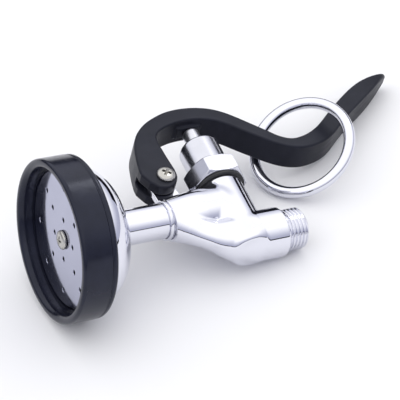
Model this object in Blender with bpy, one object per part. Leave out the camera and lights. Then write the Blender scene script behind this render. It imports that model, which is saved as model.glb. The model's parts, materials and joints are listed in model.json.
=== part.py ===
"""Pre-rinse spray valve: spray head, valve body, sprung plunger, squeeze lever and hold-down ring.

Modelled in millimetres in the valve's own frame and laid on its side by one parent empty:
X runs along the spray axis from the bumper's front rim (X = 0) to the inlet, Z points to the lever.
"""
import math

import bmesh
import bpy
from mathutils import Matrix, Vector

MM = 0.001

# ---------------------------------------------------------------- driving dimensions (mm)
GAP = 0.3                    # clearance between parts that touch in the real valve
# spray head
BUMPER_R, BUMPER_L, BUMPER_WALL = 36.5, 16.4, 4.4
PLATE_X, PLATE_R, PLATE_T = 6.8, 31.2, 1.2
PLATE_HOLES = ((24.0, 8, 21.2), (15.6, 4, 21.2), (9.2, 4, 66.2))   # circle radius, count, first angle
PLATE_HOLE_R = 1.1
BELL_R, BELL_RIM_X, BELL_DEPTH, BELL_POWER, BELL_T = 30.7, 15.4, 17.4, 2.34, 1.8
TUBE_R, TUBE_BORE_R = 8.1, 5.4
SEAM_X = 54.9                # where the outlet tube enters the body
# body
BOSS_R, BOSS_FLARE = 8.9, 2.2  # outlet boss, and how much wider it is where it meets the bonnet boss
INLET_Z, INLET_R, INLET_END_X = -19.2, 11.4, 105.0
THREAD_R, THREAD_PITCH, THREAD_L = 9.525, 1.814, 10.8
INLET_BORE_R = 6.2
BONNET_X, BONNET_LEAN = 89.0, 0.065      # bonnet axis at Z = 0, and its lean towards the inlet (rad)
BONNET_BOSS_R, BONNET_BOSS_TOP = 10.6, 11.0
CHAMBER_R = 8.2
CHAMBER_FLOOR = -25.0
SEAT_TOP, SEAT_BOTTOM = -5.0, -9.0
# bonnet, heights along the bonnet axis
NUT_BOTTOM, NUT_TOP, NUT_AF = 12.5, 22.5, 25.0
NECK_R, NECK_TOP = 9.7, 39.0
STEM_R, STEM_TIP = 4.0, 49.8
ROD_R = 2.4
SPRING_R, SPRING_WIRE_R, SPRING_TURNS = 5.6, 0.6, 5.0
SPRING_LOW, SPRING_HIGH = 14.2, 27.6
# lever
LEVER_W = 14.0
PIVOT_X, PIVOT_Z = 64.5, 20.0
FIN_T = 3.2
PIVOT_R = 2.1
# hold-down ring
RING_R, RING_WIRE_R = 23.7, 2.75
RING_CENTRE = (140.7, -2.0, 26.8)
RING_NORMAL = (-0.623, -0.782, -0.021)

BONNET_DIR = Vector((math.sin(BONNET_LEAN), 0.0, math.cos(BONNET_LEAN)))
BONNET_FOOT = Vector((BONNET_X, 0.0, 0.0))
X_DIR, Y_DIR, Z_DIR = Vector((1, 0, 0)), Vector((0, 1, 0)), Vector((0, 0, 1))
ORIGIN = Vector((0, 0, 0))

# ---------------------------------------------------------------- materials
FINISHES = {                 # colour, metallic, roughness
    "chrome": ((0.80, 0.81, 0.84), 1.0, 0.08),
    "polished_steel": ((0.62, 0.62, 0.68), 1.0, 0.16),
    "zinc_steel": ((0.66, 0.65, 0.62), 1.0, 0.30),
    "spring_steel": ((0.55, 0.55, 0.56), 1.0, 0.28),
    "brass": ((0.78, 0.60, 0.28), 1.0, 0.30),
    "black_rubber": ((0.025, 0.026, 0.034), 0.0, 0.42),
    "black_plastic": ((0.050, 0.052, 0.062), 0.0, 0.38),
    "seal_rubber": ((0.020, 0.020, 0.022), 0.0, 0.60),
    "white_plastic": ((0.80, 0.80, 0.78), 0.0, 0.45),
}


def material(slot):
    found = bpy.data.materials.get(slot)
    if found:
        return found
    colour, metallic, roughness = FINISHES[slot]
    mat = bpy.data.materials.new(slot)
    mat.use_nodes = True
    shader = mat.node_tree.nodes["Principled BSDF"]
    shader.inputs["Base Color"].default_value = (*colour, 1.0)
    shader.inputs["Metallic"].default_value = metallic
    shader.inputs["Roughness"].default_value = roughness
    mat.diffuse_color = (*colour, 1.0)
    return mat


# ---------------------------------------------------------------- mesh helpers
def frame_at(point, axis):
    """Matrix whose local Z runs along axis and whose origin is point (mm)."""
    turn = Z_DIR.rotation_difference(Vector(axis).normalized()).to_matrix().to_4x4()
    return Matrix.Translation(Vector(point) * MM) @ turn


def new_object(name, bm, slot=None, matrix=None, parent=None):
    bmesh.ops.remove_doubles(bm, verts=bm.verts, dist=1e-7)
    bmesh.ops.recalc_face_normals(bm, faces=bm.faces)
    mesh = bpy.data.meshes.new(name)
    bm.to_mesh(mesh)
    bm.free()
    obj = bpy.data.objects.new(name, mesh)
    bpy.context.collection.objects.link(obj)
    if slot:
        mesh.materials.append(material(slot))
    if matrix is not None:
        obj.matrix_world = matrix
    if parent is not None:
        bpy.context.view_layer.update()
        obj.parent = parent
        obj.matrix_parent_inverse = parent.matrix_world.inverted()
    smooth(obj)
    return obj


def smooth(obj, angle=35.0):
    obj.data.shade_smooth()
    obj.data.set_sharp_from_angle(angle=math.radians(angle))


def revolve(profile, segments=40):
    """Solid of revolution about Z from (radius, height) points; a closed profile makes a ring."""
    bm = bmesh.new()
    rings = []
    for radius, height in profile:
        if radius < 1e-6:
            rings.append([bm.verts.new((0, 0, height * MM))])
        else:
            rings.append([bm.verts.new((radius * MM * math.cos(a), radius * MM * math.sin(a), height * MM))
                          for a in (2 * math.pi * k / segments for k in range(segments))])
    open_ends = len(rings[0]) == 1 and len(rings[-1]) == 1
    pairs = list(zip(rings, rings[1:])) + ([] if open_ends else [(rings[-1], rings[0])])
    for low, high in pairs:
        for k in range(segments):
            n = (k + 1) % segments
            if len(low) == 1:
                bm.faces.new((low[0], high[k], high[n]))
            elif len(high) == 1:
                bm.faces.new((low[n], low[k], high[0]))
            else:
                bm.faces.new((low[k], low[n], high[n], high[k]))
    return bm


def rod(radius, low, high, chamfer=0.0, bore=0.0, segments=40):
    """Profile of a plain round bar or sleeve between two heights, with chamfered outer edges."""
    outer = [(radius - chamfer, low), (radius, low + chamfer),
             (radius, high - chamfer), (radius - chamfer, high)] \
        if chamfer else [(radius, low), (radius, high)]
    inner = [(bore, high), (bore, low)] if bore else []
    if bore:
        return revolve(outer + inner, segments)
    return revolve([(0, low)] + outer + [(0, high)], segments)


def arc(centre, radius, start, end, steps):
    """Points on an arc, in degrees."""
    return [(centre[0] + radius * math.cos(math.radians(start + (end - start) * k / steps)),
             centre[1] + radius * math.sin(math.radians(start + (end - start) * k / steps)))
            for k in range(steps + 1)]


def spline(points, steps=3):
    """Catmull-Rom curve through points, open at both ends."""
    pts = [Vector(p) for p in points]
    pts = [2 * pts[0] - pts[1]] + pts + [2 * pts[-1] - pts[-2]]
    out = []
    for p0, p1, p2, p3 in zip(pts, pts[1:], pts[2:], pts[3:]):
        for k in range(steps):
            t = k / steps
            out.append(0.5 * (2 * p1 + (p2 - p0) * t + (2 * p0 - 5 * p1 + 4 * p2 - p3) * t * t
                              + (3 * p1 - p0 - 3 * p2 + p3) * t ** 3))
    return out + [pts[-2]]


def sweep(path, radii, segments=32):
    """Round bar along a path in the XZ plane, with flat ends."""
    bm = bmesh.new()
    rings = []
    for k, point in enumerate(path):
        ahead, behind = path[min(k + 1, len(path) - 1)], path[max(k - 1, 0)]
        tangent = (Vector(ahead) - Vector(behind)).normalized()
        side = Vector((-tangent.z, 0, tangent.x))
        rings.append([bm.verts.new((Vector(point) + radii[k] * (side * math.cos(a) + Y_DIR * math.sin(a))) * MM)
                      for a in (2 * math.pi * j / segments for j in range(segments))])
    for low, high in zip(rings, rings[1:]):
        for j in range(segments):
            n = (j + 1) % segments
            bm.faces.new((low[j], low[n], high[n], high[j]))
    bm.faces.new(rings[0][::-1])
    bm.faces.new(rings[-1])
    return bm


def slab(outline, low, high):
    """Prism along Y from (x, z) points."""
    bm = bmesh.new()
    near = [bm.verts.new((x * MM, low * MM, z * MM)) for x, z in outline]
    far = [bm.verts.new((x * MM, high * MM, z * MM)) for x, z in outline]
    bm.faces.new(near)
    bm.faces.new(far[::-1])
    for k in range(len(outline)):
        n = (k + 1) % len(outline)
        bm.faces.new((near[k], far[k], far[n], near[n]))
    return bm


def torus(ring_r, wire_r, segments=48, wire_segments=12):
    return revolve([(ring_r + wire_r * math.cos(a), wire_r * math.sin(a))
                    for a in (2 * math.pi * k / wire_segments for k in range(wire_segments))], segments)


def boolean(obj, tools, operation):
    """Apply exact booleans of the tool objects to obj, then delete the tools."""
    for tool in tools:
        tool.hide_render = True
        tool.display_type = "WIRE"
        mod = obj.modifiers.new(tool.name, "BOOLEAN")
        mod.object, mod.operation, mod.solver = tool, operation, "EXACT"
    graph = bpy.context.evaluated_depsgraph_get()
    mesh = bpy.data.meshes.new_from_object(obj.evaluated_get(graph))
    obj.modifiers.clear()
    old, obj.data = obj.data, mesh
    mesh.name = obj.name
    bpy.data.meshes.remove(old)
    for tool in tools:
        bpy.data.objects.remove(tool)
    smooth(obj)
    return obj


def tool(bm, matrix=None):
    return new_object("cutter", bm, matrix=matrix)


def hex_nut(across_flats, hole_r, low, high):
    """Plain hexagonal nut whose six-sided bore clears a round of radius hole_r."""
    corner = 1 / math.cos(math.pi / 6)
    return rod(across_flats / 2 * corner, low, high, 0.3, bore=(hole_r + GAP) * corner, segments=6)


def empty(name, point=ORIGIN, parent=None):
    node = bpy.data.objects.new(name, None)
    bpy.context.collection.objects.link(node)
    node.matrix_world = Matrix.Translation(Vector(point) * MM)
    if parent is not None:
        bpy.context.view_layer.update()
        node.parent = parent
        node.matrix_parent_inverse = parent.matrix_world.inverted()
    bpy.context.view_layer.update()
    return node


def on_bonnet(height):
    return BONNET_FOOT + BONNET_DIR * height


# ---------------------------------------------------------------- spray head
ALONG_X = frame_at(ORIGIN, X_DIR)


def spray_head(root):
    inner = BUMPER_R - BUMPER_WALL
    lip = [(inner, PLATE_X - GAP), (inner, 1.6), (inner + 0.6, 0.5), (inner + 1.6, 0.0)]
    rim = arc((BUMPER_R - 1.6, 1.6), 1.6, -90, 0, 3)
    back = [(BUMPER_R, BUMPER_L - 3.4), (BUMPER_R - 0.5, BUMPER_L - 2.9), (BUMPER_R - 0.5, BUMPER_L - 1.0),
            (BUMPER_R - 1.4, BUMPER_L), (BELL_R + 0.6, BUMPER_L), (BELL_R + 0.6, PLATE_X - GAP)]
    new_object("rubber_bumper", revolve(lip + rim + back, 44), "black_rubber", ALONG_X, root)

    plate = new_object("spray_face_plate", rod(PLATE_R - 0.7, PLATE_X, PLATE_X + PLATE_T, 0.2, segments=36),
                       "polished_steel", ALONG_X, root)
    cutters = [tool(rod(2.4, PLATE_X - 1, PLATE_X + PLATE_T + 1, segments=16), ALONG_X)]
    for radius, count, first in PLATE_HOLES:
        for k in range(count):
            a = math.radians(first + 360.0 * k / count)
            cutters.append(tool(rod(PLATE_HOLE_R, -1, PLATE_T + 1, segments=8),
                                frame_at((PLATE_X, radius * math.cos(a), radius * math.sin(a)), X_DIR)))
    boolean(plate, cutters, "DIFFERENCE")

    shank = [(0, PLATE_X + 9.0), (2.1, PLATE_X + 9.0), (2.1, PLATE_X - GAP)]
    head = [(4.3, PLATE_X - GAP), (4.3, PLATE_X - 1.1), (3.6, PLATE_X - 2.0), (2.2, PLATE_X - 2.5),
            (0, PLATE_X - 2.6)]
    screw = new_object("face_screw", revolve(shank + head, 24), "zinc_steel", ALONG_X, root)
    boolean(screw, cross_recess((PLATE_X - 3.0, 0, 0), X_DIR, 2.1, 1.8), "DIFFERENCE")

    gasket_x = PLATE_X + PLATE_T + GAP
    new_object("face_gasket", rod(PLATE_R - 0.7, gasket_x, gasket_x + 1.2, bore=27.4, segments=36),
               "seal_rubber", ALONG_X, root)

    bell_front = gasket_x + 1.2 + GAP
    dome = [(BELL_R * (1 - t ** BELL_POWER) ** (1 / BELL_POWER), BELL_RIM_X + BELL_DEPTH * t)
            for t in (0.0, 0.25, 0.45, 0.6, 0.74, 0.85, 0.94)]
    inside = [(max(r - BELL_T, 0), x - BELL_T * 0.9) for r, x in reversed(dome) if r > 12]
    hub = [(TUBE_R + 2.0, BELL_RIM_X + BELL_DEPTH + 1.0), (TUBE_R + GAP, BELL_RIM_X + BELL_DEPTH + 1.4),
           (TUBE_R + GAP, BELL_RIM_X + 9.0), (TUBE_R + 2.4, BELL_RIM_X + 9.0)]
    profile = [(BELL_R, bell_front)] + dome + hub + inside + [(27.6, bell_front)]
    bell = new_object("spray_bell", revolve(profile, 40), "chrome", ALONG_X, root)
    bridge_x = bell_front + 1.6
    bridge = slab([(bridge_x, -28.6), (bridge_x + 3.2, -28.6), (bridge_x + 3.2, 28.6), (bridge_x, 28.6)], -3, 3)
    boss = rod(5.2, bridge_x, bridge_x + 6.0, segments=20)
    boolean(bell, [tool(bridge), tool(boss, ALONG_X)], "UNION")
    boolean(bell, [tool(rod(2.4, bridge_x - 1, bridge_x + 8, segments=16), ALONG_X)], "DIFFERENCE")

    tube = [(TUBE_R, BELL_RIM_X + 9.6), (TUBE_R, SEAM_X + 8.0), (TUBE_BORE_R, SEAM_X + 8.0),
            (TUBE_BORE_R, BELL_RIM_X + 9.6)]
    new_object("outlet_tube", revolve(tube, 32), "chrome", ALONG_X, root)
    seal_x = SEAM_X + 8.0 + GAP
    new_object("tube_seal_ring", rod(TUBE_R - 0.1, seal_x, seal_x + 1.6, bore=TUBE_BORE_R + 0.4, segments=32),
               "seal_rubber", ALONG_X, root)


def cross_recess(point, axis, reach, depth):
    """Two crossed bars that cut a Phillips recess into a screw head."""
    bars = []
    for turn in (0.35, 0.35 + math.pi / 2):
        bm = bmesh.new()
        bmesh.ops.create_cube(bm, size=1.0)
        bmesh.ops.scale(bm, vec=(2 * reach * MM, 0.75 * MM, 2 * depth * MM), verts=bm.verts)
        bmesh.ops.rotate(bm, matrix=Matrix.Rotation(turn, 3, "Z"), verts=bm.verts)
        bars.append(tool(bm, frame_at(point, axis)))
    return bars


# ---------------------------------------------------------------- valve body
def inlet_profile():
    """Threaded inlet end: boss face, thread relief, ridged thread and lead chamfer, as a closed ring."""
    core = THREAD_R - 0.95
    points = [(0, -8.0), (INLET_R, -8.0), (INLET_R, INLET_END_X - BONNET_X - 0.8),
              (INLET_R - 0.8, INLET_END_X - BONNET_X), (core, INLET_END_X - BONNET_X)]
    x = INLET_END_X - BONNET_X + 0.9
    while x + THREAD_PITCH < INLET_END_X - BONNET_X + THREAD_L - 0.6:
        points += [(core, x), (THREAD_R, x + 0.40 * THREAD_PITCH), (THREAD_R, x + 0.60 * THREAD_PITCH)]
        x += THREAD_PITCH
    points += [(core, x), (core, INLET_END_X - BONNET_X + THREAD_L), (0, INLET_END_X - BONNET_X + THREAD_L)]
    return points


LEG = ((57.4, -0.8, 8.9), (61.0, -2.4, 8.9), (65.4, -6.4, 7.9), (70.1, -11.0, 6.9), (75.5, -15.0, 7.3),
       (82.0, -18.1, 9.7), (90.0, INLET_Z, INLET_R - 0.05))   # x, z and radius along the leg


def valve_body(root):
    outlet = [(0, SEAM_X), (BOSS_R - 0.5, SEAM_X), (BOSS_R, SEAM_X + 0.6),
              (BOSS_R + BOSS_FLARE, SEAM_X + 20.0), (BOSS_R + BOSS_FLARE, 78.0), (BOSS_R + 1.2, 82.0),
              (BOSS_R - 0.9, 86.0), (BOSS_R - 4.4, 89.0), (0, 90.0)]
    shell = new_object("valve_body", revolve(outlet, 28), "chrome", ALONG_X, root)
    leg = spline([(x, 0, z) for x, z, _ in LEG], 2)
    leg_r = [radius for radius, _, _ in spline([(radius, 0, 0) for _, _, radius in LEG], 2)]
    inlet_axis = frame_at((BONNET_X, 0, INLET_Z), X_DIR)
    pivot = Vector((PIVOT_X, 0, PIVOT_Z))
    fin_outline = [(54.4, 3.0), (54.4, 20.6), (55.6, 23.6)] + arc((PIVOT_X - 1.0, PIVOT_Z), 5.8, 125, -20, 6) \
        + [(70.0, 3.0)]
    boolean(shell, [
        tool(sweep(leg, leg_r, 28)),
        tool(revolve(inlet_profile(), 28), inlet_axis),
        tool(revolve([(0, CHAMBER_FLOOR - 3.0), (BONNET_BOSS_R - 2.5, CHAMBER_FLOOR - 2.0),
                      (BONNET_BOSS_R, CHAMBER_FLOOR + 3.5), (BONNET_BOSS_R, BONNET_BOSS_TOP - 0.6),
                      (BONNET_BOSS_R - 0.6, BONNET_BOSS_TOP), (0, BONNET_BOSS_TOP)], 28),
             frame_at(BONNET_FOOT, BONNET_DIR)),
        tool(slab(fin_outline, -FIN_T / 2, FIN_T / 2)),
    ], "UNION")
    socket = revolve([(0, SEAM_X - 1), (TUBE_R + GAP, SEAM_X - 1), (TUBE_R + GAP, SEAM_X + 10.4),
                      (5.0, SEAM_X + 10.4), (5.0, BONNET_X - 4.0), (0, BONNET_X - 4.0)], 32)
    cutters = [
        tool(socket, ALONG_X),
        tool(rod(CHAMBER_R, CHAMBER_FLOOR, BONNET_BOSS_TOP + 1, segments=32), frame_at(BONNET_FOOT, BONNET_DIR)),
        tool(rod(INLET_BORE_R, 2.0, INLET_END_X - BONNET_X + THREAD_L + 1, segments=32), inlet_axis),
        tool(rod(PIVOT_R + GAP, -4, 4, segments=20), frame_at(pivot, Y_DIR)),
    ]
    boolean(shell, cutters, "DIFFERENCE")


# ---------------------------------------------------------------- bonnet and valve works
def bonnet(root):
    axis = frame_at(BONNET_FOOT, BONNET_DIR)
    sleeve_r = CHAMBER_R - GAP
    new_object("valve_seat", revolve([(sleeve_r, SEAT_BOTTOM), (sleeve_r, SEAT_TOP), (4.4, SEAT_TOP),
                                      (4.0, SEAT_TOP - 0.6), (4.0, SEAT_BOTTOM + 0.8), (4.8, SEAT_BOTTOM)], 32),
               "brass", axis, root)
    gasket_r = NUT_AF / 2 - 0.4
    new_object("bonnet_gasket", rod(gasket_r, BONNET_BOSS_TOP + GAP, NUT_BOTTOM - GAP, bore=CHAMBER_R + GAP,
                                    segments=32), "seal_rubber", axis, root)

    skirt_r = CHAMBER_R - GAP
    flange_top = NUT_TOP - 3.6
    cage = [(skirt_r, 1.6), (skirt_r, NUT_BOTTOM + 0.9), (NECK_R + 1.2, NUT_BOTTOM + 1.0),
            (NECK_R + 1.2, flange_top), (NECK_R, flange_top)] \
        + arc((NECK_R - 1.8, NECK_TOP - 1.8), 1.8, 0, 90, 4) \
        + [(STEM_R + GAP, NECK_TOP), (STEM_R + GAP, NECK_TOP - 2.6), (STEM_R + 2.4, NECK_TOP - 2.6),
           (STEM_R + 2.4, SPRING_LOW - 1.4), (STEM_R + 1.0, SPRING_LOW - 1.4), (STEM_R + 1.0, 1.6)]
    new_object("bonnet", revolve(cage, 32), "chrome", axis, root)

    nut = new_object("bonnet_nut", hex_prism(NUT_AF, NUT_BOTTOM, NUT_TOP), "chrome", axis, root)
    bore = [(0, NUT_BOTTOM - 1), (NECK_R + 1.2 + GAP, NUT_BOTTOM - 1), (NECK_R + 1.2 + GAP, flange_top + GAP),
            (NECK_R + GAP, flange_top + GAP), (NECK_R + GAP, NUT_TOP + 1), (0, NUT_TOP + 1)]
    boolean(nut, [tool(revolve(bore, 28), axis)], "DIFFERENCE")
    corner = NUT_AF / 2 / math.cos(math.pi / 6)
    barrel = [(0, NUT_BOTTOM), (NUT_AF / 2 - 0.1, NUT_BOTTOM), (corner + 0.1, NUT_BOTTOM + 1.3),
              (corner + 0.1, NUT_TOP - 1.3), (NUT_AF / 2 - 0.1, NUT_TOP), (0, NUT_TOP)]
    boolean(nut, [tool(revolve(barrel, 36), axis)], "INTERSECT")

    new_object("stem_o_ring", torus(STEM_R + 1.35, 0.9, 24, 8), "seal_rubber",
               frame_at(on_bonnet(NECK_TOP - 3.9), BONNET_DIR), root)
    new_object("packing_washer", rod(STEM_R + 2.1, NECK_TOP - 6.4, NECK_TOP - 5.2, bore=STEM_R + GAP, segments=32),
               "white_plastic", axis, root)
    new_object("spring_washer", rod(STEM_R + 2.1, SPRING_LOW - 1.1, SPRING_LOW - GAP, bore=ROD_R + GAP,
                                    segments=32), "zinc_steel", axis, root)
    new_object("return_spring", coil(SPRING_R - SPRING_WIRE_R, SPRING_WIRE_R, SPRING_LOW + SPRING_WIRE_R,
                                     SPRING_HIGH - SPRING_WIRE_R, SPRING_TURNS), "spring_steel", axis, root)


def hex_prism(across_flats, low, high):
    """Hexagonal bar with two flats facing across Y."""
    radius = across_flats / 2 / math.cos(math.pi / 6)
    bm = bmesh.new()
    rings = [[bm.verts.new((radius * MM * math.cos(k * math.pi / 3), radius * MM * math.sin(k * math.pi / 3), z * MM))
              for k in range(6)] for z in (low, high)]
    bm.faces.new(rings[0][::-1])
    bm.faces.new(rings[1])
    for k in range(6):
        n = (k + 1) % 6
        bm.faces.new((rings[0][k], rings[0][n], rings[1][n], rings[1][k]))
    return bm


def coil(radius, wire_r, low, high, turns, per_turn=16, wire_segments=6):
    """Compression spring about Z."""
    bm = bmesh.new()
    steps = int(turns * per_turn)
    rings = []
    for k in range(steps + 1):
        a = 2 * math.pi * k / per_turn
        z = low + (high - low) * k / steps
        out = Vector((math.cos(a), math.sin(a), 0))
        rings.append([bm.verts.new((out * (radius + wire_r * math.cos(b)) + Z_DIR * (z + wire_r * math.sin(b))) * MM)
                      for b in (2 * math.pi * j / wire_segments for j in range(wire_segments))])
    for low_ring, high_ring in zip(rings, rings[1:]):
        for j in range(wire_segments):
            n = (j + 1) % wire_segments
            bm.faces.new((low_ring[j], low_ring[n], high_ring[n], high_ring[j]))
    bm.faces.new(rings[0])
    bm.faces.new(rings[-1][::-1])
    return bm


def plunger(root):
    slide = empty("plunger_slide", on_bonnet(0.0), root)
    axis = frame_at(BONNET_FOOT, BONNET_DIR)
    collar = SPRING_HIGH + GAP
    disc_top = SEAT_BOTTOM - GAP - 1.4
    stem = [(0, disc_top - 4.0), (1.5, disc_top - 4.0), (1.5, disc_top), (ROD_R, disc_top), (ROD_R, collar),
            (STEM_R, collar), (STEM_R, STEM_TIP - 1.5), (STEM_R - 0.5, STEM_TIP - 0.7),
            (STEM_R - 1.8, STEM_TIP - 0.15), (0, STEM_TIP)]
    new_object("plunger", revolve(stem, 32), "chrome", axis, slide)
    new_object("spring_collar", rod(STEM_R + 2.0, collar + 1.0, collar + 2.0, bore=STEM_R + GAP, segments=32),
               "zinc_steel", axis, slide)
    new_object("seat_washer", rod(6.4, SEAT_BOTTOM - GAP - 1.4, SEAT_BOTTOM - GAP, bore=ROD_R + GAP, segments=32),
               "seal_rubber", axis, slide)
    new_object("washer_holder", revolve([(6.9, disc_top - GAP), (6.9, disc_top - GAP - 1.4), (4.0, disc_top - 2.4),
                                         (1.8, disc_top - 2.4), (1.8, disc_top - GAP)], 32), "brass", axis, slide)
    new_object("holder_nut", hex_nut(5.5, 1.5, disc_top - 4.4, disc_top - 2.7), "brass",
               axis, slide)


# ---------------------------------------------------------------- lever
LEVER_TOP = ((53.8, 26.1), (55.8, 34.1), (58.9, 42.7), (64.2, 50.0), (72.3, 55.7), (84.4, 59.6), (98.2, 58.9),
             (109.9, 53.5), (123.5, 39.5), (130.9, 31.7), (138.4, 29.4), (150.6, 33.6), (168.1, 46.3),
             (186.5, 57.6), (207.5, 64.8))
LEVER_UNDER = ((208.2, 63.2), (192.5, 51.5), (171.4, 37.8), (156.5, 26.9), (146.2, 22.9), (136.8, 22.6),
               (127.6, 26.7), (116.3, 36.9), (105.6, 47.2), (96.4, 51.1), (86.1, 51.5), (76.9, 49.2),
               (71.7, 45.4), (70.4, 40.0))
EAR_FOOT = ((70.6, 23.0), (69.9, 18.6), (67.6, 15.0), (64.6, 13.2), (61.4, 12.9), (58.4, 14.0))
EAR_BACK = ((55.7, 17.6), (53.6, 23.0))


def lever_outline():
    ear = spline(EAR_FOOT, 2) + list(EAR_BACK)
    return spline(LEVER_TOP, 3) + spline(LEVER_UNDER, 3) + [(70.4, 30.0)] + ear


def tail_width(x):
    """Half width of the lever at x: parallel along the grip, closing to a round point at the tip."""
    start, tip = 184.0, 209.5
    t = max(0.0, min(1.0, (x - start) / (tip - start)))
    return LEVER_W / 2 * max(0.03, (1 - t ** 2.6)) ** 0.5


def squeeze_lever(root):
    swing = empty("lever_pivot", (PIVOT_X, 0, PIVOT_Z), root)
    bm = slab([tuple(p)[:2] for p in lever_outline()], -LEVER_W / 2, LEVER_W / 2)
    for vert in bm.verts:
        side = math.copysign(1.0, vert.co.y)
        vert.co.y = side * tail_width(vert.co.x / MM) * MM
    lever = new_object("squeeze_lever", bm, "black_plastic", None, swing)
    bevel = lever.modifiers.new("edges", "BEVEL")
    bevel.width, bevel.segments, bevel.limit_method, bevel.angle_limit = 0.9 * MM, 1, "ANGLE", math.radians(50)
    pad = slab([(84.0, 53.0), (85.5, 50.1), (97.6, 50.1), (98.6, 52.5)], -3.2, 3.2)
    boolean(lever, [tool(pad)], "UNION")
    pivot = Vector((PIVOT_X, 0, PIVOT_Z))
    boolean(lever, [
        tool(slab([(48, 8), (48, 26.6)] + arc((PIVOT_X - 1.0, PIVOT_Z), 7.6, 118, 0, 7) + [(74, 18), (74, 8)],
                  -FIN_T / 2 - GAP, FIN_T / 2 + GAP)),
        tool(rod(PIVOT_R + GAP, -10, 10, segments=20), frame_at(pivot, Y_DIR)),
        tool(rod(3.9, LEVER_W / 2 - 2.2, LEVER_W / 2 + 2, segments=20), frame_at(pivot, Y_DIR)),
    ], "DIFFERENCE")

    face = -LEVER_W / 2 - GAP
    head = [(0, face - 2.1), (1.8, face - 2.0), (3.2, face - 1.6), (4.0, face - 0.9), (4.25, face - 0.3),
            (4.25, face), (PIVOT_R, face), (PIVOT_R, LEVER_W / 2 - 0.4), (0, LEVER_W / 2 - 0.4)]
    screw = new_object("pivot_screw", revolve(head, 28), "zinc_steel", frame_at(pivot, Y_DIR), swing)
    boolean(screw, cross_recess(pivot + Y_DIR * (face - 2.4), Y_DIR, 2.1, 1.5), "DIFFERENCE")
    new_object("pivot_nut", hex_nut(6.4, PIVOT_R, LEVER_W / 2 - 1.9, LEVER_W / 2 - 0.3),
               "zinc_steel", frame_at(pivot, Y_DIR), swing)


def hold_down_ring(root):
    swing = empty("ring_swing", RING_CENTRE, root)
    new_object("hold_down_ring", torus(RING_R, RING_WIRE_R, 40, 10), "chrome",
               frame_at(RING_CENTRE, RING_NORMAL), swing)


# ---------------------------------------------------------------- lay the valve on its side
REST_DOWN = Vector((0.21, 0.975, 0.05))      # roughly which way is down in the valve's frame at rest
MASS_CENTRE = Vector((72.0, 0.0, 2.0))       # about where the valve balances


def lay_down(root):
    """Turn and lower the whole valve so that it rests on the hull facet under its mass centre."""
    bpy.context.view_layer.update()
    pieces = [o for o in bpy.data.objects if o.type == "MESH"]
    bm = bmesh.new()
    for piece in pieces:
        if piece.name != "hold_down_ring":
            for vert in piece.data.vertices:
                bm.verts.new(piece.matrix_world @ vert.co)
    bmesh.ops.convex_hull(bm, input=bm.verts)
    bm.normal_update()
    start, down = MASS_CENTRE * MM, REST_DOWN.normalized()
    normal, reach = None, math.inf
    for face in bm.faces:
        out = face.normal if face.normal.dot(face.calc_center_median() - start) > 0 else -face.normal
        slope = out.dot(down)
        if slope > 1e-6:
            distance = out.dot(face.verts[0].co - start) / slope
            if distance < reach:
                normal, reach = out.copy(), distance
    bm.free()
    up = -normal
    ahead = (X_DIR - up * up.dot(X_DIR)).normalized()
    turn = Matrix((ahead, up.cross(ahead), up)).to_4x4()
    corners = [turn @ piece.matrix_world @ vert.co for piece in pieces for vert in piece.data.vertices]
    low = Vector([min(c[k] for c in corners) for k in range(3)])
    high = Vector([max(c[k] for c in corners) for k in range(3)])
    root.matrix_world = Matrix.Translation((-(low.x + high.x) / 2, -(low.y + high.y) / 2, -low.z)) @ turn


def main():
    for obj in list(bpy.data.objects):
        bpy.data.objects.remove(obj)
    root = empty("faucet")
    spray_head(root)
    valve_body(root)
    bonnet(root)
    plunger(root)
    squeeze_lever(root)
    hold_down_ring(root)
    lay_down(root)


main()
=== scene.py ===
"""Looks of the pre-rinse spray valve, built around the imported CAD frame.

Shapes are given in millimetres in the valve's own frame: X runs along the spray axis from the
bumper's front rim (X = 0) to the inlet, Z points to the lever, Y completes a right-handed set.
"""

import json
import math

import bmesh
import bpy
import numpy as np
from mathutils import Matrix, Vector


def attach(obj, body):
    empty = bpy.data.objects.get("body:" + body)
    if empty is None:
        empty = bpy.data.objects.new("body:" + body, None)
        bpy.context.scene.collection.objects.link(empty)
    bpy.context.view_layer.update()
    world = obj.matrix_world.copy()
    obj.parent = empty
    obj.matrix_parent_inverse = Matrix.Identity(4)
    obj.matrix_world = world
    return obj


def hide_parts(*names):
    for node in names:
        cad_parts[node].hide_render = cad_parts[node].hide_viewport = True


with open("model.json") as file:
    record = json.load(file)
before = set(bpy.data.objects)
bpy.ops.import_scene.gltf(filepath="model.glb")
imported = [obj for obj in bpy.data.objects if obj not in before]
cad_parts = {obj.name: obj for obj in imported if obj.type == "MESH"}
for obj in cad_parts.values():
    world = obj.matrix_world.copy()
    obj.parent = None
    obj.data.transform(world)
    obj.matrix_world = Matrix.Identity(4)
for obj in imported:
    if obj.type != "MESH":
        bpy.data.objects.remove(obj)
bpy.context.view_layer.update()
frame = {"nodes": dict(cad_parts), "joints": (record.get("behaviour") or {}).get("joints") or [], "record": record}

MM = 0.001
JOINTS = {joint["name"]: joint for joint in frame["joints"]}
MOUNTS = {mount["name"]: mount for mount in frame["record"]["mounts"]}

# ---------------------------------------------------------------- dimensions (mm)
# spray head
BUMPER_R, BUMPER_L, BUMPER_WALL = 36.5, 16.4, 4.4
PLATE_X, PLATE_R, PLATE_T = 6.8, 30.5, 1.2
PLATE_HOLES = ((24.0, 8, 21.2), (15.6, 4, 21.2), (9.2, 4, 66.2))   # circle radius, count, first angle
PLATE_HOLE_R, SCREW_HOLE_R = 1.1, 2.4
BELL_R, BELL_RIM_X, BELL_DEPTH, BELL_POWER, BELL_T = 30.7, 15.4, 17.4, 2.34, 1.8
BELL_MOUTH_R, HUB_R = 27.6, 13
TUBE_R, TUBE_BORE_R = 8.1, 5.4
SEAM_X = 54.9
COLLAR_L = 2.2
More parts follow.
